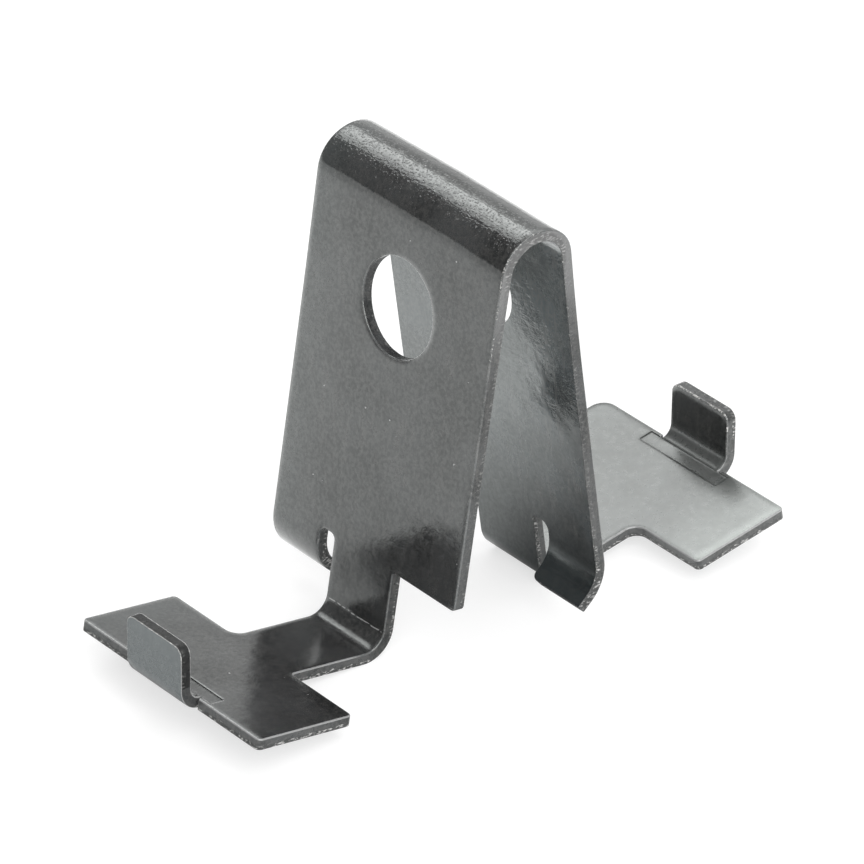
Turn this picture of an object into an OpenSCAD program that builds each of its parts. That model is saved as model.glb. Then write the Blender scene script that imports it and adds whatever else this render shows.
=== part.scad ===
// T-bar mounting clip: one strip of spring steel, punched and folded into a tent.
// Two splayed legs hang from a round top fold. A neck below each leg turns outward
// at a heel into a wide foot bar, and a tab stands up at the bar's outer edge.
// Both legs are the same: each is the other turned half a turn about the upright axis.
// X runs from foot to foot, Y along the fold and Z up. The clip stands on its two heels
// at Z = 0, with the fold midway between the feet.

/* [Sheet] */
// Thickness of the steel
sheet_t = 1.1; // [0.8:0.05:1.4]
// Width of the strip, which is also the length of each foot bar
strip_w = 25.4; // [23:0.1:32]

/* [Tent] */
// Lean of each leg from the upright, in degrees
leg_splay = 8.6; // [5:0.1:12]
// Inner radius of the top fold
fold_r = 2.8; // [2:0.1:4]
// Distance down a leg from the centre of the fold to its free lower edge
leg_l = 32.9; // [30:0.1:38]
// Corner radius at the end of the free lower edge
leg_corner_r = 0.5; // [0.2:0.1:1.2]

/* [Bolt hole] */
// Diameter of the hole in each leg
hole_d = 9.5; // [6:0.1:11]
// Distance down a leg from the centre of the fold to the centre of the hole
hole_drop = 8.4; // [7.5:0.1:14]

/* [Neck and heel] */
// Width of the neck between leg and foot
neck_w = 8.2; // [7:0.1:9]
// Flat length of the neck below the leg's free lower edge
neck_l = 5.9; // [5:0.1:9]
// Inner radius of the heel
heel_r = 1.9; // [1.5:0.1:3]
// Fillet in the corner between the neck and the free lower edge
neck_fillet_r = 0.4; // [0.2:0.1:0.8]

/* [Lip] */
// Width of the slot that parts the lip from the neck
slot_w = 2.05; // [1.6:0.05:2.4]
// Radius of the slot's top corner on the neck's side
slot_neck_r = 0.6; // [0.2:0.05:0.8]
// Radius of the slot's top corner on the lip's side
slot_lip_r = 0.9; // [0.3:0.05:1]
// Flat length of the lip below the top of the slot
lip_flat = 1.5; // [1:0.1:2.4]
// Inner radius of the lip's inward curl
lip_r = 3.1; // [2.5:0.1:5]
// Turn of the curl, in degrees
lip_turn = 58.4; // [50:0.1:65]
// Straight length beyond the curl
lip_end = 1.2; // [0.9:0.1:1.6]
// Corner radius at the lip's end, on the slot's side
lip_corner_r = 0.7; // [0.3:0.1:0.8]

/* [Foot] */
// Rise of the foot as it leaves the heel, in degrees from level
foot_rise = 9.1; // [4:0.1:12]
// Flat length from the heel to the bar's inner edge
foot_neck_l = 8.6; // [6:0.1:12]
// Depth of the bar across its length
bar_d = 10.7; // [9:0.1:13]
// Fillet in the notch on the lip's side
notch_wide_r = 1.3; // [0.8:0.1:2.5]
// Fillet in the notch on the other side
notch_tight_r = 0.4; // [0.2:0.1:0.9]
// Corner radius of the bar's ends
bar_corner_r = 0.5; // [0.3:0.1:1.2]
// Radius of the one blunt outer corner, on the second foot
blunt_corner_r = 1.6; // [0.5:0.1:2]

/* [Tab] */
// Width of the upturned tab, centred on the bar
tab_w = 7.8; // [6:0.1:9]
// Height of the tab's top edge above the bar's upper face, measured along the tab
tab_h = 5.7; // [4:0.1:7]
// Inner radius of the tab's bend
tab_r = 1.2; // [0.8:0.1:1.6]
// Distance from the bar's outer edge back to the start of the tab's bend
tab_inset = 0.4; // [0.3:0.1:2]
// Corner radius of the tab's top
tab_corner_r = 1; // [0.5:0.1:1.5]
// Width of the slit that frees the tab's bend on each side
relief_w = 0.25; // [0.15:0.05:0.4]

/* [Coined line] */
// Length of the coined line at the tab's root
coin_l = 10.7; // [9.2:0.1:12]
// Width of the coined line
coin_w = 1.5; // [0.8:0.1:1.8]
// Depth of the coined line
coin_depth = 0.1; // [0.05:0.01:0.2]

/* [Hidden] */
$fn = 96;
steel = [0.2, 0.21, 0.22];
// Small distance by which a cut runs past the metal
over = 1;
// Small distance by which neighbouring outlines share metal
lap = 0.02;
// Small turn past the crest by which the two halves of the fold share metal, in degrees
crest_lap = 1;

// Outer radius of the fold
fold_ro = fold_r + sheet_t;
// Distance down a leg at which the heel's bend starts
heel_drop = leg_l + neck_l;
// The heel turns the sheet from the leg's slope to the foot's
heel_turn = 90 - leg_splay + foot_rise;
// The tab's bend leaves the tab upright
tab_turn = 90 - foot_rise;
// Edges of the slot, across the strip
slot_y0 = neck_w / 2;
slot_y1 = slot_y0 + slot_w;
// Width of the lip and the middle of it
lip_w = strip_w / 2 - slot_y1;
lip_y = slot_y1 + lip_w / 2;
// Distance down a leg at which the curl starts
lip_drop = leg_l + lip_flat;
// Reaches along the foot, from the end of the heel
bar_in = foot_neck_l;
bar_out = foot_neck_l + bar_d;
tab_in = bar_out - tab_inset;
// Straight height of the tab above its bend
tab_rise = tab_h - tab_r;
// Depth of the heel's underside below the fold's centre, which sets the clip on Z = 0
heel_x = fold_ro + heel_r;
heel_low = heel_drop * cos(leg_splay) - heel_x * sin(leg_splay) + heel_r + sheet_t;

// Quarter-round waste at a corner that is rounded off. The corner is at the origin and
// the metal lies towards +X and +Y
module corner_waste(r)
  difference() {
    translate([-over, -over]) square(r + over);
    translate([r, r]) circle(r);
  }

// Quarter-round metal that fills an inner corner. The corner is at the origin and the
// open side lies towards +X and +Y
module corner_fill(r)
  difference() {
    translate([-lap, -lap]) square(r + lap);
    translate([r, r]) circle(r);
  }

// Curved piece of the sheet about the Y axis. It starts at +X and turns towards +Z
module arc(inner_r, turn, width)
  rotate([90, 0, 0])
    rotate_extrude(angle = turn)
      translate([inner_r, -width / 2])
        square([sheet_t, width]);

// Bend of the sheet with whatever comes after it, which starts at +X and goes on
// towards +Z in the turned frame
module bend(inner_r, turn, width) {
  arc(inner_r, turn, width);
  rotate([0, -turn, 0]) children();
}

// Sheet that stands upright, with its inner or outer face at X = x. The outline has Y
// across and Z up
module stood_sheet(x)
  translate([x, 0, 0])
    rotate([90, 0, 90])
      linear_extrude(sheet_t)
        children();

// Sheet that lies flat below the XY plane. The outline has X and Y
module flat_sheet()
  translate([0, 0, -sheet_t])
    linear_extrude(sheet_t)
      children();

// Outline of the leg, the neck and the flat part of the lip
module leg_outline()
  difference() {
    union() {
      translate([-strip_w / 2, -leg_l]) square([strip_w, leg_l]);
      translate([-neck_w / 2, -heel_drop]) square([neck_w, heel_drop]);
      translate([slot_y1, -lip_drop]) square([lip_w, lip_drop]);
      translate([-slot_y0, -leg_l]) rotate(180) corner_fill(neck_fillet_r);
      translate([slot_y0, -leg_l]) rotate(-90) corner_fill(slot_neck_r);
      translate([slot_y1, -leg_l]) rotate(180) corner_fill(slot_lip_r);
    }
    translate([-strip_w / 2, -leg_l]) corner_waste(leg_corner_r);
    translate([0, -hole_drop]) circle(d = hole_d);
  }

// Half of the top fold, from the leg up to the crest
module half_fold()
  mirror([1, 0, 0])
    arc(fold_r, 90 - leg_splay + crest_lap, strip_w);

// Lip that curls inward below the leg, with its straight end
module lip()
  translate([lip_r - fold_r, lip_y, -lip_drop])
    mirror([0, 0, 1])
      mirror([1, 0, 0])
        bend(lip_r, lip_turn, lip_w)
          stood_sheet(lip_r) lip_end_outline();

// Outline of the lip's straight end. Its corner next to the slot is rounded
module lip_end_outline()
  difference() {
    translate([-lip_w / 2, 0]) square([lip_w, lip_end]);
    translate([-lip_w / 2, lip_end]) rotate(-90) corner_waste(lip_corner_r);
  }

// Outline of the foot: a neck and the wide bar, seen from above, with the heel at X = 0
module foot_outline(blunt_r)
  difference() {
    union() {
      translate([-bar_in - lap, -neck_w / 2]) square([bar_in + lap, neck_w]);
      translate([-bar_out, -strip_w / 2]) square([bar_d, strip_w]);
      translate([-bar_in, neck_w / 2]) corner_fill(notch_wide_r);
      translate([-bar_in, -neck_w / 2]) rotate(-90) corner_fill(notch_tight_r);
    }
    translate([-bar_in, strip_w / 2]) rotate(180) corner_waste(bar_corner_r);
    translate([-bar_in, -strip_w / 2]) rotate(90) corner_waste(bar_corner_r);
    translate([-bar_out, strip_w / 2]) rotate(-90) corner_waste(bar_corner_r);
    translate([-bar_out, -strip_w / 2]) corner_waste(blunt_r);
    translate([-bar_out - over, -tab_w / 2 - relief_w])
      square([tab_inset + over, tab_w + 2 * relief_w]);
  }

// Upturned tab with its bend, from the end of the flat sheet
module tab()
  translate([-tab_in, 0, tab_r])
    mirror([1, 0, 0])
      rotate([0, 90, 0])
        bend(tab_r, tab_turn, tab_w)
          stood_sheet(tab_r) tab_outline();

// Outline of the tab's straight part
module tab_outline()
  difference() {
    translate([-tab_w / 2, 0]) square([tab_w, tab_rise]);
    translate([-tab_w / 2, tab_rise]) rotate(-90) corner_waste(tab_corner_r);
    translate([tab_w / 2, tab_rise]) rotate(180) corner_waste(tab_corner_r);
  }

// Shallow line pressed into the bar's upper face at the tab's root
module coined_line()
  translate([-tab_in, -coin_l / 2, -coin_depth])
    cube([coin_w, coin_l, over]);

// Foot with its bar, tab and coined line, with the end of the heel at the origin
module foot(blunt_r)
  difference() {
    union() {
      flat_sheet() foot_outline(blunt_r);
      tab();
    }
    coined_line();
  }

// One leg with its half of the fold, down to its foot, hung from the fold's centre
module leg(blunt_r)
  rotate([0, leg_splay, 0]) {
    half_fold();
    stood_sheet(-fold_ro) leg_outline();
    lip();
    translate([-heel_x, 0, -heel_drop])
      mirror([0, 0, 1])
        bend(heel_r, heel_turn, neck_w)
          translate([heel_r, 0, 0])
            rotate([0, 90, 0])
              mirror([0, 0, 1])
                foot(blunt_r);
  }

// The whole clip, standing on its heels
module clip()
  color(steel)
    translate([0, 0, heel_low]) {
      leg(bar_corner_r);
      rotate([0, 0, 180]) leg(blunt_corner_r);
    }

clip();
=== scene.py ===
import math

import bpy
from mathutils import Matrix, Vector


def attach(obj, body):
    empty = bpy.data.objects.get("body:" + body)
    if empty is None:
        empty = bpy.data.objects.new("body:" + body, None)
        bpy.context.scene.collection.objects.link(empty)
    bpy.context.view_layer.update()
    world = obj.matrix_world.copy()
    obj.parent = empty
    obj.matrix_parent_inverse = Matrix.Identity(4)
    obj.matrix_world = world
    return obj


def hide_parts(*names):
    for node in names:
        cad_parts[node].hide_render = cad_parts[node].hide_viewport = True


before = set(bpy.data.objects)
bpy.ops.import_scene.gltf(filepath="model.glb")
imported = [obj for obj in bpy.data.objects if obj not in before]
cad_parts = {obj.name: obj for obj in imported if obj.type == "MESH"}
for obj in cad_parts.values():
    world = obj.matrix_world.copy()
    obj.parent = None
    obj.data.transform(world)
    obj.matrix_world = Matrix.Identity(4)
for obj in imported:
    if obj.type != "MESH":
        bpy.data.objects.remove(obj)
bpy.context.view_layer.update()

MM = 0.001

# Measures of the clip in millimetres. X runs from foot to foot, Y along the fold and Z up.
SHEET = 1.1
STRIP = 25.4
HALF_STRIP = STRIP / 2
LEG_LEAN = math.radians(8.6)
FOOT_RISE = math.radians(9.1)
FOLD_Z = 40.496
FOLD_RADIUS = 2.8
FOLD_TOP = 44.4
HEEL_REACH = 10.6
FOOT_PLANE_Z = -0.769
TAB_REACH = 32.61

# Input and output sockets of the mix node for each kind of value: first, second, result
MIX_SOCKETS = {"FLOAT": (2, 3, 0), "VECTOR": (4, 5, 1), "RGBA": (6, 7, 2)}

# Slots of the clip's materials
OUTER, INNER, CUT, SOFT, BURR = range(5)

# Cosine of the sharpest turn at an edge that still joins the faces of one skin
GENTLE = math.cos(math.radians(32))


def grey(value, tint=(1.0, 1.0, 1.0)):
    """Grey colour with a slight tint."""
    return (value * tint[0], value * tint[1], value * tint[2], 1.0)


class Tree:
    """Short calls for building one node tree."""

    def __init__(self, tree):
        self.tree = tree
        tree.nodes.clear()

    def add(self, kind, **values):
        node = self.tree.nodes.new(kind)
        for key, value in values.items():
            setattr(node, key, value)
        return node

    def put(self, socket, value):
        """Links a socket or sets it. A plain number fills every part of a vector."""
        if value is None:
            return
        if hasattr(value, "is_output"):
            self.tree.links.new(value, socket)
        elif isinstance(value, (int, float)) and hasattr(socket.default_value, "__len__"):
            socket.default_value = [value] * len(socket.default_value)
        else:
            socket.default_value = value

    def put_all(self, node, values):
        for key, value in values.items():
            self.put(node.inputs[key], value)

    def math(self, operation, first, second=None, clamp=False):
        node = self.add("ShaderNodeMath", operation=operation, use_clamp=clamp)
        self.put_all(node, {0: first, 1: second})
        return node.outputs[0]

    def plus(self, first, second):
        return self.math("ADD", first, second)

    def minus(self, first, second):
        return self.math("SUBTRACT", first, second)

    def times(self, first, *others):
        """Product of two or more values."""
        product = first
        for other in others:
            product = self.math("MULTIPLY", product, other)
        return product

    def below(self, value, limit):
        return self.math("LESS_THAN", value, limit)

    def above(self, value, limit):
        return self.math("GREATER_THAN", value, limit)

    def size_of(self, value):
        return self.math("ABSOLUTE", value)

    def span(self, value, start, end, low=0.0, high=1.0):
        """Smooth step that is low where the value is at start and high where it is at end."""
        node = self.add("ShaderNodeMapRange", interpolation_type="SMOOTHSTEP")
        limits = {"From Min": start, "From Max": end, "To Min": low, "To Max": high}
        self.put_all(node, {"Value": value, **limits})
        return node.outputs[0]

    def mix(self, share, first, second, kind="RGBA"):
        first_in, second_in, result = MIX_SOCKETS[kind]
        node = self.add("ShaderNodeMix", data_type=kind)
        self.put_all(node, {0: share, first_in: first, second_in: second})
        return node.outputs[result]

    def noise(self, place, scale, detail=3.0, rough=0.55):
        node = self.add("ShaderNodeTexNoise")
        self.put_all(node, {"Vector": place, "Scale": scale, "Detail": detail, "Roughness": rough})
        return node.outputs["Fac"]

    def turned(self, vector, angles=(0, 0, 0), scale=(1, 1, 1)):
        """Vector that is scaled and then turned by angles in degrees."""
        node = self.add("ShaderNodeMapping")
        turn = [math.radians(angle) for angle in angles]
        self.put_all(node, {"Vector": vector, "Rotation": turn, "Scale": scale})
        return node.outputs[0]

    def split(self, vector):
        """The three parts of a vector."""
        node = self.add("ShaderNodeSeparateXYZ")
        self.put(node.inputs[0], vector)
        return list(node.outputs)

    def bump(self, height, depth, normal):
        """Normal over a relief whose depth is in millimetres."""
        node = self.add("ShaderNodeBump")
        self.put_all(node, {"Height": height, "Distance": depth * MM, "Normal": normal})
        return node.outputs[0]


class Coating(Tree):
    """Glossy black coating over steel. tone is its diffuse grey, rough its roughness and
    far_painted_light how much painted light makes it paler towards the strip's far edge.
    Each method adds one look on top of the ones before it."""

    def __init__(self, name, tone, rough, tint=(0.95, 1.0, 1.03), far_painted_light=0.5):
        self.material = bpy.data.materials.new(name)
        self.material.use_nodes = True
        super().__init__(self.material.node_tree)
        self.tint = tint
        metres = self.add("ShaderNodeTexCoord").outputs["Object"]
        self.place = self.turned(metres, scale=(1 / MM, 1 / MM, 1 / MM))
        self.x, self.y, self.z = self.split(self.place)
        self.reach = self.size_of(self.x)
        self.cloud = self.noise(self.place, 0.16, 3.0, 0.5)
        self.mottle = self.noise(self.place, 1.6, 4.0, 0.62)
        self.grit = self.noise(self.place, 2.6, 3.0, 0.7)
        self.colour = self.uneven(tone, far_painted_light)
        self.rough = self.span(self.mottle, 0.3, 0.72, rough * 0.75, rough * 1.35)
        rougher_low = self.span(self.z, 19, 6, 0.0, 0.07)
        self.dull(rougher_low)
        self.mirror = self.span(self.grit, 0.36, 0.64, 0.43, 0.57)
        self.normal = None

    def uneven(self, tone, far_painted_light):
        """Clouds, mottles, runs and grit in the coating's grey, and painted light that
        makes it paler towards the strip's far edge.
        """
        drip = self.noise(self.turned(self.place, scale=(1.7, 1.7, 0.12)), 1.0, 3.0, 0.6)
        clouds = self.span(self.cloud, 0.35, 0.65)
        colour = self.mix(clouds, grey(tone * 0.45, self.tint), grey(tone * 1.5, self.tint))
        layers = (
            (self.times(self.span(self.mottle, 0.5, 0.8), 0.5), grey(tone * 2.2, (1.05, 1.0, 0.95))),
            (self.times(self.span(drip, 0.5, 0.7), 0.45), grey(tone * 2.4, (1.03, 1.0, 0.98))),
            (self.span(self.grit, 0.42, 0.62, 0.0, 0.5), grey(tone * 1.9, (1.04, 1.0, 0.97))),
            # Painted light: the grey turns paler towards the strip's far edge.
            (self.span(self.y, 6.5, HALF_STRIP, 0.0, far_painted_light), grey(tone * 2.4, (0.9, 1.0, 1.0))),
        )
        for share, shade in layers:
            colour = self.mix(share, colour, shade)
        return colour

    def lay(self, share, shade):
        """Covers a share of the colour with another one."""
        self.colour = self.mix(share, self.colour, shade)

    def dull(self, amount):
        self.rough = self.plus(self.rough, amount)

    def dent(self, height, depth):
        self.normal = self.bump(height, depth, self.normal)

    def soft_edges(self, share):
        """Bends the normals near edges, where the punch rolled the sheet."""
        roll_radius = 1.0
        bevel = self.add("ShaderNodeBevel", samples=8)
        bevel.inputs["Radius"].default_value = roll_radius * MM
        plain = self.add("ShaderNodeNewGeometry").outputs["Normal"]
        unit = self.add("ShaderNodeVectorMath", operation="NORMALIZE")
        self.put(unit.inputs[0], self.mix(share, plain, bevel.outputs[0], "VECTOR"))
        self.normal = unit.outputs[0]

    def relief(self, grain):
        """Waves of the sheet and, times grain, the coating's fine relief."""
        self.dent(self.cloud, 0.1)
        self.dent(self.mottle, 0.008 * grain)
        self.dent(self.noise(self.place, 7.0, 2.0, 0.55), 0.004 * grain)

    def worked_fold_and_painted_glints(self):
        """Streaks and specks where the fold stretched the coating, and painted glints there,
        all fading past the crest."""
        band = self.times(self.span(self.z, 42.1, 43.2), self.span(self.x, -0.3, 1.6, 1.0, 0.2))
        streak = self.noise(self.turned(self.place, scale=(4.2, 1.1, 4.2)), 1.0, 1.0, 0.5)
        speck = self.noise(self.place, 4.6, 1.0, 0.5)
        self.dent(self.times(streak, band), 0.02)
        self.dent(self.times(self.span(speck, 0.52, 0.76), band), 0.02)
        self.rough = self.minus(self.rough, self.times(band, 0.02))
        # Painted glints: pale grey specks laid into the colour along the fold.
        self.lay(self.times(self.span(speck, 0.7, 0.76), band, 0.5), grey(0.3))

    def press_line(self):
        """Dotted line that the press left along both heels."""
        line_z = 2.58
        half_width = 0.05
        wave = self.times(self.noise(self.place, 0.9, 1.0), 0.25)
        off = self.size_of(self.minus(self.plus(self.z, wave), line_z))
        dots = self.span(self.noise(self.place, 2.6, 2.0, 0.6), 0.47, 0.53)
        mark = self.times(self.below(off, half_width), dots, self.below(self.reach, 10.2))
        self.lay(self.times(mark, 0.8), grey(0.4))

    def soft_groove(self):
        """Soft shoulders of the coined line at each tab's root."""
        inner_side = self.span(self.reach, 28.8, 29.1)
        outer_side = self.span(self.reach, 30.7, 30.35)
        ends = self.span(self.size_of(self.y), 5.5, 5.2)
        self.dent(self.times(inner_side, outer_side, ends), -0.07)

    def satin_foot_with_painted_light(self):
        """Makes the second foot satin, and paler with painted light, most of all towards its
        near end.
        """
        satin = self.times(self.span(self.x, 12, 18), self.span(self.z, 5.8, 4.8))
        self.dull(self.times(satin, 0.12))
        # Painted light: the second foot is laid paler, most of all towards its near end.
        towards_end = self.span(self.y, -4, -HALF_STRIP, 0.0, 0.25)
        at_end = self.span(self.y, -11.3, -12.6, 0.0, 0.35)
        pale = self.plus(self.plus(towards_end, at_end), 0.1)
        self.lay(self.times(pale, satin), grey(0.45, (0.93, 1.0, 0.95)))
        self.mirror = self.mix(satin, self.mirror, 0.5, "FLOAT")

    def fine_lines(self):
        """Patches of fine slanting lines on the upper half of the legs."""
        patch = self.span(self.noise(self.place, 0.22, 2.0, 0.5), 0.4, 0.55)
        slanted = self.turned(self.place, angles=(13, 0, 0))
        strokes = self.noise(self.turned(slanted, scale=(4.0, 0.9, 4.6)), 1.0, 1.0, 0.5)
        lines = self.times(self.span(strokes, 0.45, 0.65), patch, self.span(self.z, 18, 25))
        self.dent(lines, 0.003)
        self.dull(self.times(lines, 0.05))
        self.lay(self.times(lines, 0.12), grey(0.07, self.tint))

    def inner_painted_shade_and_light(self):
        """Darker low down at the lips with painted shade, weaker mirror at the far edge, and
        paler tabs with painted light.
        """
        # Painted shade: darker low down, near the lips.
        self.lay(self.span(self.z, 10, 6.5, 0.0, 0.7), grey(0.008, self.tint))
        self.mirror = self.times(self.mirror, self.span(self.y, 5, 9, 1.0, 0.78))
        # Painted light: the tabs' outer sides are laid paler.
        self.lay(self.span(self.reach, 32.3, 32.5, 0.0, 0.8), grey(0.07, self.tint))

    def sheet_depth(self, on_tab):
        """How far a point lies from the burr side (0) to the rolled side (1) of the sheet,
        on the legs with the fold, on the feet and on the tabs."""
        rise = self.minus(self.z, FOLD_Z)
        under = self.math("MINIMUM", rise, 0.0)
        over = self.math("MAXIMUM", rise, 0.0)
        along = self.times(self.reach, math.cos(LEG_LEAN))
        level = self.plus(along, self.times(under, math.sin(LEG_LEAN)))
        radius = self.math("SQRT", self.plus(self.times(level, level), self.times(over, over)))
        on_leg = self.math("DIVIDE", self.minus(radius, FOLD_RADIUS), SHEET)
        slope = self.times(self.reach, math.tan(FOOT_RISE))
        drop = self.minus(self.minus(self.z, FOOT_PLANE_Z), slope)
        on_foot = self.plus(self.times(drop, math.cos(FOOT_RISE) / SHEET), 1.0)
        at_tab = self.math("DIVIDE", self.minus(TAB_REACH, self.reach), SHEET)
        depth = self.mix(self.above(self.reach, HEEL_REACH), on_leg, on_foot, "FLOAT")
        return self.mix(on_tab, depth, at_tab, "FLOAT")

    def torn_edge(self):
        """Rough pale grain on the torn half of a punched edge. It is weaker on the legs and
        the fold. Painted light makes the edges paler towards the top, and painted shade
        makes the first foot's tab darker than the other one."""
        on_tab = self.times(self.above(self.reach, 31.0), self.above(self.z, 5.6))
        ragged = self.times(self.noise(self.place, 1.7, 3.0, 0.6), -0.55)
        depth = self.plus(self.sheet_depth(on_tab), ragged)
        depth = self.minus(depth, self.span(self.z, 38, 42, 0.0, 0.3))
        calm = self.times(self.span(self.z, 7, 12), self.span(self.z, 41, 38, 0.6, 1.0))
        torn = self.times(self.span(depth, 0.0, 0.16, 1.0, 0.0), self.span(calm, 0, 1, 1.0, 0.25))
        crumb = self.noise(self.turned(self.place, scale=(2.4, 2.4, 6.5)), 1.0, 2.0, 0.6)
        grain = self.mix(self.span(crumb, 0.52, 0.66), grey(0.03), grey(0.42, (1.0, 0.99, 0.97)))
        # Painted light: the punched edges turn paler towards the top.
        self.lay(self.span(self.z, 30, 41, 0.0, 0.6), grey(0.24))
        self.lay(torn, grain)
        self.dull(self.times(torn, 0.18))
        # Painted shade: the first foot's tab is laid darker and mirrors less.
        dark = self.times(on_tab, self.below(self.x, 0.0))
        self.lay(self.times(dark, 0.75), grey(0.012))
        self.mirror = self.times(self.mirror, self.span(dark, 0, 1, 1.0, 0.4))
        self.dent(self.times(crumb, torn), 0.05)

    def chips(self, amount):
        """Small chips down to the steel, with more on the tabs' tips and on the near edge
        of the first leg. A painted highlight makes the feet's rims paler as a whole,
        apart from the second foot's outer end."""
        tip = self.times(self.span(self.reach, 31.0, 31.4), self.span(self.z, 7.2, 8.2))
        near = self.span(self.y, -12.3, -12.5, 0.0, 0.5)
        side = self.times(near, self.span(self.z, 28, 34), self.below(self.x, 0.5))
        worn = self.math("MAXIMUM", tip, side)
        # Painted highlight: the feet's rims are laid paler.
        on_foot = self.span(self.reach, 12, 14, 0.0, 0.42)
        self.lay(self.times(on_foot, self.span(self.x, 30.6, 31.0, 1.0, 0.2)), grey(0.5))
        bare = self.math("ADD", self.times(worn, 0.8), amount, clamp=True)
        flakes = self.plus(self.noise(self.place, 3.0, 4.0, 0.7), self.times(worn, 0.1))
        flake = self.span(flakes, 0.58, 0.64)
        self.lay(self.times(flake, bare), grey(0.5, (1.0, 0.98, 0.95)))
        self.dent(flake, -0.03)

    def nicks(self, strength):
        """Small round nicks, which are smaller on the second foot."""
        spot = self.add("ShaderNodeTexVoronoi")
        self.put_all(spot, {"Vector": self.place, "Scale": 0.75})
        pick = self.add("ShaderNodeSeparateColor")
        self.put(pick.inputs[0], spot.outputs["Color"])
        size = self.span(pick.outputs[0], 0.72, 1.0, 0.0, 0.065)
        size = self.times(size, self.span(self.x, 10, 14, 1.0, 0.3))
        nick = self.times(self.below(spot.outputs["Distance"], size), strength)
        self.lay(nick, grey(0.55))
        self.dent(nick, -0.02)
        self.dull(self.times(nick, 0.3))

    def finished(self, refraction=1.95, gleam=(0.96, 1.0, 0.98)):
        """The material. gleam tints its reflections."""
        shader = self.add("ShaderNodeBsdfPrincipled")
        self.put_all(shader, {
            "Base Color": self.colour,
            "Roughness": self.rough,
            "IOR": refraction,
            "Specular IOR Level": self.mirror,
            "Specular Tint": grey(1.0, gleam),
            "Normal": self.normal,
        })
        self.put(self.add("ShaderNodeOutputMaterial").inputs[0], shader.outputs[0])
        return self.material


def outer_skin():
    """The tent's outside, the upper side of the feet and the inner sides of the tabs."""
    coat = Coating("outer_skin", tone=0.026, rough=0.1, tint=(0.96, 1.0, 1.03))
    coat.soft_edges(0.5)
    coat.relief(1.0)
    coat.worked_fold_and_painted_glints()
    coat.press_line()
    coat.soft_groove()
    coat.satin_foot_with_painted_light()
    coat.nicks(0.9)
    return coat.finished()


def inner_skin():
    """The tent's inside, the underside of the feet and the outer sides of the tabs."""
    coat = Coating("inner_skin", tone=0.042, rough=0.1, tint=(0.84, 0.99, 1.08), far_painted_light=0.1)
    coat.relief(1.0)
    coat.fine_lines()
    coat.inner_painted_shade_and_light()
    coat.nicks(0.9)
    return coat.finished(gleam=(0.92, 1.0, 0.98))


def cut_edge():
    """The punched edges between the two skins."""
    coat = Coating("cut_edge", tone=0.035, rough=0.24)
    coat.relief(3.0)
    coat.torn_edge()
    coat.nicks(0.9)
    return coat.finished(refraction=1.6)


def rim(name, tone, rough, grain, chips, nicks):
    """A rounded rim between a skin and a punched edge."""
    coat = Coating(name, tone=tone, rough=rough)
    coat.relief(grain)
    coat.chips(chips)
    coat.nicks(nicks)
    return coat.finished()


def take(thing):
    """Makes an object the only selected one and the active one."""
    bpy.ops.object.select_all(action="DESELECT")
    thing.select_set(True)
    bpy.context.view_layer.objects.active = thing


def copy_of(source, name):
    take(source)
    bpy.ops.object.duplicate()
    copy = bpy.context.object
    copy.name = name
    return copy


def bisect(place, direction):
    bpy.ops.mesh.select_all(action="SELECT")
    bpy.ops.mesh.bisect(plane_co=[value * MM for value in place], plane_no=direction)


def remesh(thing):
    """Joins the solid's facets into flat faces and cuts them across and along the strip,
    so that they can bend."""
    across_step = 2.7
    up_start = 22
    up_step = 2
    take(thing)
    bpy.ops.object.mode_set(mode="EDIT")
    bpy.ops.mesh.select_mode(type="VERT")
    bpy.ops.mesh.select_all(action="SELECT")
    bpy.ops.mesh.customdata_custom_splitnormals_clear()
    bpy.ops.mesh.remove_doubles(threshold=2e-6)
    bpy.ops.mesh.dissolve_limited(angle_limit=math.radians(0.3))
    for i in range(-4, 5):
        bisect((0, i * across_step, 0), (0, 1, 0))
    for i in range(11):
        bisect((0, 0, up_start + up_step * i), (0, 0, 1))
    bpy.ops.object.mode_set(mode="OBJECT")


def faces_by_edge(mesh):
    faces = {}
    for face in mesh.polygons:
        for key in face.edge_keys:
            faces.setdefault(key, []).append(face)
    return faces


def find_skins(mesh):
    """Gathers faces that gentle edges join. Returns the skin of each face and each
    skin's area."""
    touching = faces_by_edge(mesh)
    skin_of = [None] * len(mesh.polygons)
    areas = []
    for first in mesh.polygons:
        if skin_of[first.index] is not None:
            continue
        skin = len(areas)
        skin_of[first.index] = skin
        areas.append(0.0)
        waiting = [first]
        while waiting:
            face = waiting.pop()
            areas[skin] += face.area
            for key in face.edge_keys:
                for other in touching[key]:
                    if skin_of[other.index] is None and face.normal.dot(other.normal) > GENTLE:
                        skin_of[other.index] = skin
                        waiting.append(other)
    return skin_of, areas


def is_coined(face):
    """Whether a face is the floor of a coined line at a tab's root."""
    nearest, farthest, half_length = 28.9, 30.6, 5.4
    x, y, _ = face.center / MM
    return face.normal.z > 0.9 and nearest < abs(x) < farthest and abs(y) < half_length


def is_tab_inside(face):
    """Whether a face is the side of a tab that looks at the tent."""
    nearest, farthest, half_width = 30.4, 31.6, 3.85
    x, y, _ = face.center / MM
    inward = -face.normal.x if x > 0 else face.normal.x
    in_place = nearest < abs(x) < farthest and abs(y) < half_width
    return in_place and inward > 0.05 and abs(face.normal.y) < 0.1


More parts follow.
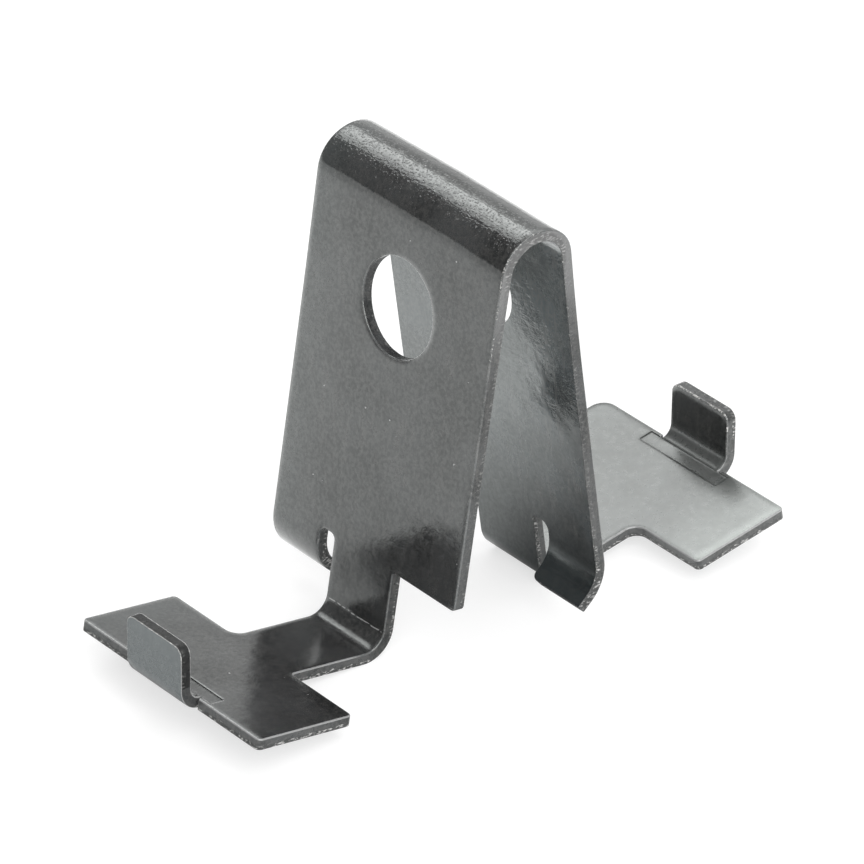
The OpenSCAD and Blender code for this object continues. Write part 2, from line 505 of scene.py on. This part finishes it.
def paint_faces(mesh):
    """Sets the slots of the two skins and the cut edges. The two widest skins are the
    sheet's sides, and the outer one holds the crest of the fold. The coined lines and
    the tabs' inner sides belong to it too."""
    skin_of, areas = find_skins(mesh)
    widest = sorted(range(len(areas)), key=lambda skin: -areas[skin])[:2]
    sides = [face for face in mesh.polygons if skin_of[face.index] in widest]
    crest = max(sides, key=lambda face: face.center.z)
    for face in mesh.polygons:
        skin = skin_of[face.index]
        if skin == skin_of[crest.index] or is_coined(face) or is_tab_inside(face):
            face.material_index = OUTER
        elif skin in widest:
            face.material_index = INNER
        else:
            face.material_index = CUT


def is_coin_edge(middle):
    """Whether an edge's middle lies on the rim of a coined line, which stays sharp."""
    nearest, farthest, half_length, lowest = 28.85, 30.52, 5.4, 3.7
    x, y, z = middle / MM
    return nearest < abs(x) < farthest and abs(y) < half_length and z > lowest


def round_edges(thing, pairs, width, segments, slot):
    """Rounds the sharp edges between faces whose slots are one of the pairs."""
    mesh = thing.data
    faces = faces_by_edge(mesh)
    weight = mesh.attributes.get("bevel_weight_edge")
    if weight is None:
        weight = mesh.attributes.new("bevel_weight_edge", "FLOAT", "EDGE")
    for edge in mesh.edges:
        sides = faces.get(edge.key, [])
        value = 0.0
        if len(sides) == 2 and sides[0].normal.dot(sides[1].normal) < GENTLE:
            pair = tuple(sorted(face.material_index for face in sides))
            start, end = (mesh.vertices[i].co for i in edge.vertices)
            if pair in pairs and not is_coin_edge((start + end) / 2):
                value = 1.0
        weight.data[edge.index].value = value
    rounded = thing.modifiers.new("rounded", "BEVEL")
    rounded.limit_method = "WEIGHT"
    rounded.width = width * MM
    rounded.segments = segments
    rounded.use_clamp_overlap = False
    rounded.material = slot
    bpy.ops.object.modifier_apply(modifier="rounded")


def lean_fold(thing):
    """Makes the top fold a little wider, and lets it lean over and sink at its near end.
    A cage of points moves it, more and more towards the top."""
    low = 28.0
    high = FOLD_TOP
    length = 40
    sides = 2
    columns = 3
    rows = 6
    lean = (0.22, 0.2, 0.02)
    sink = (0.22, 0.0, 0.0)
    widening = 0.06
    bpy.ops.object.add(type="LATTICE", location=(0, 0, (low + high) / 2 * MM))
    cage = bpy.context.object
    cage.scale = (length * MM, STRIP * MM, (high - low) * MM)
    cage.data.points_u = sides
    cage.data.points_v = columns
    cage.data.points_w = rows
    cage.data.interpolation_type_u = "KEY_LINEAR"
    cage.data.interpolation_type_v = "KEY_LINEAR"
    cage.data.interpolation_type_w = "KEY_CATMULL_ROM"
    for i, point in enumerate(cage.data.points):
        row = i // (sides * columns)
        column = i // sides % columns
        share = (row / (rows - 1)) ** 2
        point.co_deform.x += share * (lean[column] / length + point.co.x * widening)
        point.co_deform.z -= share * sink[column] / (high - low)
    bpy.context.view_layer.update()
    take(thing)
    held = thing.vertex_groups.new(name="top")
    held.add([vertex.index for vertex in thing.data.vertices if vertex.co.z > low * MM], 1.0, "REPLACE")
    askew = thing.modifiers.new("askew", "LATTICE")
    askew.object = cage
    askew.vertex_group = "top"
    bpy.ops.object.modifier_apply(modifier="askew")
    take(cage)
    bpy.ops.object.delete()
    take(thing)


def smooth(thing):
    bpy.ops.object.shade_smooth_by_angle(angle=math.radians(34))
    even = thing.modifiers.new("even", "WEIGHTED_NORMAL")
    even.keep_sharp = True
    bpy.ops.object.modifier_apply(modifier="even")


def folded_sheet(solid):
    """The clip's one piece, in its coating."""
    clip = copy_of(solid, "folded_sheet")
    remesh(clip)
    clip.data.materials.clear()
    clip.data.materials.append(outer_skin())
    clip.data.materials.append(inner_skin())
    clip.data.materials.append(cut_edge())
    clip.data.materials.append(rim("rolled_rim", 0.06, 0.1, grain=2.0, chips=0.25, nicks=0.5))
    clip.data.materials.append(rim("burr_rim", 0.03, 0.22, grain=6.0, chips=0.9, nicks=1.0))
    paint_faces(clip.data)
    lean_fold(clip)
    round_edges(clip, {(OUTER, CUT), (CUT, CUT)}, width=0.13, segments=4, slot=SOFT)
    round_edges(clip, {(INNER, CUT)}, width=0.06, segments=2, slot=BURR)
    smooth(clip)
    return clip


def white(tree, albedo, glow):
    """Matt white that also glows."""
    shader = tree.add("ShaderNodeBsdfPrincipled")
    tree.put_all(shader, {
        "Base Color": albedo,
        "Roughness": 0.9,
        "Specular IOR Level": 0.0,
        "Emission Color": grey(1.0),
        "Emission Strength": glow,
    })
    return shader.outputs[0]


def distance_on_floor(tree, place, x, y):
    """Distance from a point that is given in millimetres, in metres."""
    node = tree.add("ShaderNodeVectorMath", operation="DISTANCE")
    tree.put(node.inputs[0], place)
    tree.put(node.inputs[1], (x * MM, y * MM, 0))
    return node.outputs["Value"]


def floor_paint():
    """White floor. What the clip mirrors of it glows with painted light, brightest behind
    the clip, and a painted shadow makes it dark between the legs. The camera sees an
    even white with a soft shadow."""
    material = bpy.data.materials.new("white_floor")
    material.use_nodes = True
    tree = Tree(material.node_tree)
    place = tree.add("ShaderNodeTexCoord").outputs["Object"]
    x, y, _ = tree.split(place)
    from_middle = distance_on_floor(tree, place, x=0, y=0)
    from_tent = distance_on_floor(tree, place, x=3, y=-6)
    behind = tree.math("DIVIDE", tree.plus(x, y), from_middle)
    # Painted light: the floor's glow in reflections, brightest behind the clip and none at the tent.
    glow = tree.plus(tree.span(behind, -0.25, 0.7, 0.0, 0.8), 0.12)
    glow = tree.times(glow, tree.span(from_tent, 0.003, 0.028))
    # Painted light and shadow in the floor's grey: paler near the clip, darker far off, and a painted
    # shadow around the tent.
    albedo = tree.mix(tree.span(from_middle, 0.08, 0.25), grey(0.75), grey(0.45))
    albedo = tree.mix(tree.span(from_tent, 0.002, 0.016), grey(0.2), albedo)
    seen = tree.add("ShaderNodeMixShader")
    tree.put_all(seen, {
        0: tree.add("ShaderNodeLightPath").outputs["Is Camera Ray"],
        1: white(tree, albedo, glow),
        2: white(tree, albedo=grey(0.4), glow=0.66),
    })
    tree.put(tree.add("ShaderNodeOutputMaterial").inputs[0], seen.outputs[0])
    return material


def white_floor():
    bpy.ops.mesh.primitive_plane_add(size=4, location=(0, 0, 0))
    floor = bpy.context.object
    floor.name = "floor"
    floor.data.materials.append(floor_paint())
    return floor


def lobe(tree, way, direction, outer, inner, strength):
    """Soft round light in one direction, with its outer and inner half angles in degrees."""
    node = tree.add("ShaderNodeVectorMath", operation="DOT_PRODUCT")
    tree.put(node.inputs[0], way)
    tree.put(node.inputs[1], Vector(direction).normalized())
    start = math.cos(math.radians(outer))
    end = math.cos(math.radians(inner))
    return tree.span(node.outputs["Value"], start, end, 0.0, strength)


def studio_light():
    """Room that is brighter on the second foot's side, with soft lights that the coating
    mirrors. The camera itself sees plain white."""
    world = bpy.context.scene.world or bpy.data.worlds.new("studio")
    bpy.context.scene.world = world
    world.use_nodes = True
    tree = Tree(world.node_tree)
    way = tree.add("ShaderNodeTexCoord").outputs["Generated"]
    x, _, z = tree.split(way)
    light = tree.span(x, -0.05, 0.45, 0.17, 0.62)
    # Direction, outer and inner half angle, and strength of each soft light
    lobes = (
        ((0.16, 0.655, 0.74), 18.5, 14.5, 1.75),
        ((0.27, 0.655, 0.71), 15, 8, 1.0),
        ((0.45, 0.62, 0.62), 30, 12, 0.2),
        ((0.5, 0.25, 0.78), 30, 14, 1.1),
        ((0.75, 0.65, 0.1), 17, 5, 0.45),
        ((-0.30, -0.75, 0.62), 52, 20, 2.8),
    )
    for direction, outer, inner, strength in lobes:
        light = tree.plus(light, lobe(tree, way, direction, outer, inner, strength))
    light = tree.times(light, tree.span(z, -0.02, 0.1, 0.5, 1.0))
    light = tree.math("MAXIMUM", light, tree.add("ShaderNodeLightPath").outputs["Is Camera Ray"])
    background = tree.add("ShaderNodeBackground")
    tree.put_all(background, {"Color": grey(1.0), "Strength": light})
    tree.put(tree.add("ShaderNodeOutputWorld").inputs[0], background.outputs[0])


def photo_camera():
    """Camera that sees the clip as the photograph does. Its angles, aim and focal length
    were fitted to the photograph's straight edges."""
    turn = math.radians(-40.1279)
    rise = math.radians(31.0881)
    roll = math.radians(0.7524)
    aim = Vector((-2.4042, -1.7923, 19.777)) * MM
    distance = 0.66304
    focal_pixels = 7417.76
    photo_pixels = 864
    sensor = 36
    flat = math.cos(rise)
    back = Vector((math.sin(turn) * flat, -math.cos(turn) * flat, math.sin(rise)))
    level = Vector((math.cos(turn), math.sin(turn), 0))
    steep = back.cross(level)
    right = level * math.cos(roll) + steep * math.sin(roll)
    up = steep * math.cos(roll) - level * math.sin(roll)
    data = bpy.data.cameras.new("camera")
    data.sensor_width = sensor
    data.lens = focal_pixels / photo_pixels * sensor
    data.clip_start = 0.05
    data.clip_end = 10
    camera = bpy.data.objects.new("camera", data)
    bpy.context.scene.collection.objects.link(camera)
    place = Matrix((right, up, back)).transposed().to_4x4()
    place.translation = aim + back * distance
    camera.matrix_world = place
    bpy.context.scene.camera = camera


clip = folded_sheet(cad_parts["clip"])
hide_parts("clip")
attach(clip, "root")

floor = white_floor()

studio_light()
photo_camera()
bpy.context.scene.view_settings.view_transform = "Standard"
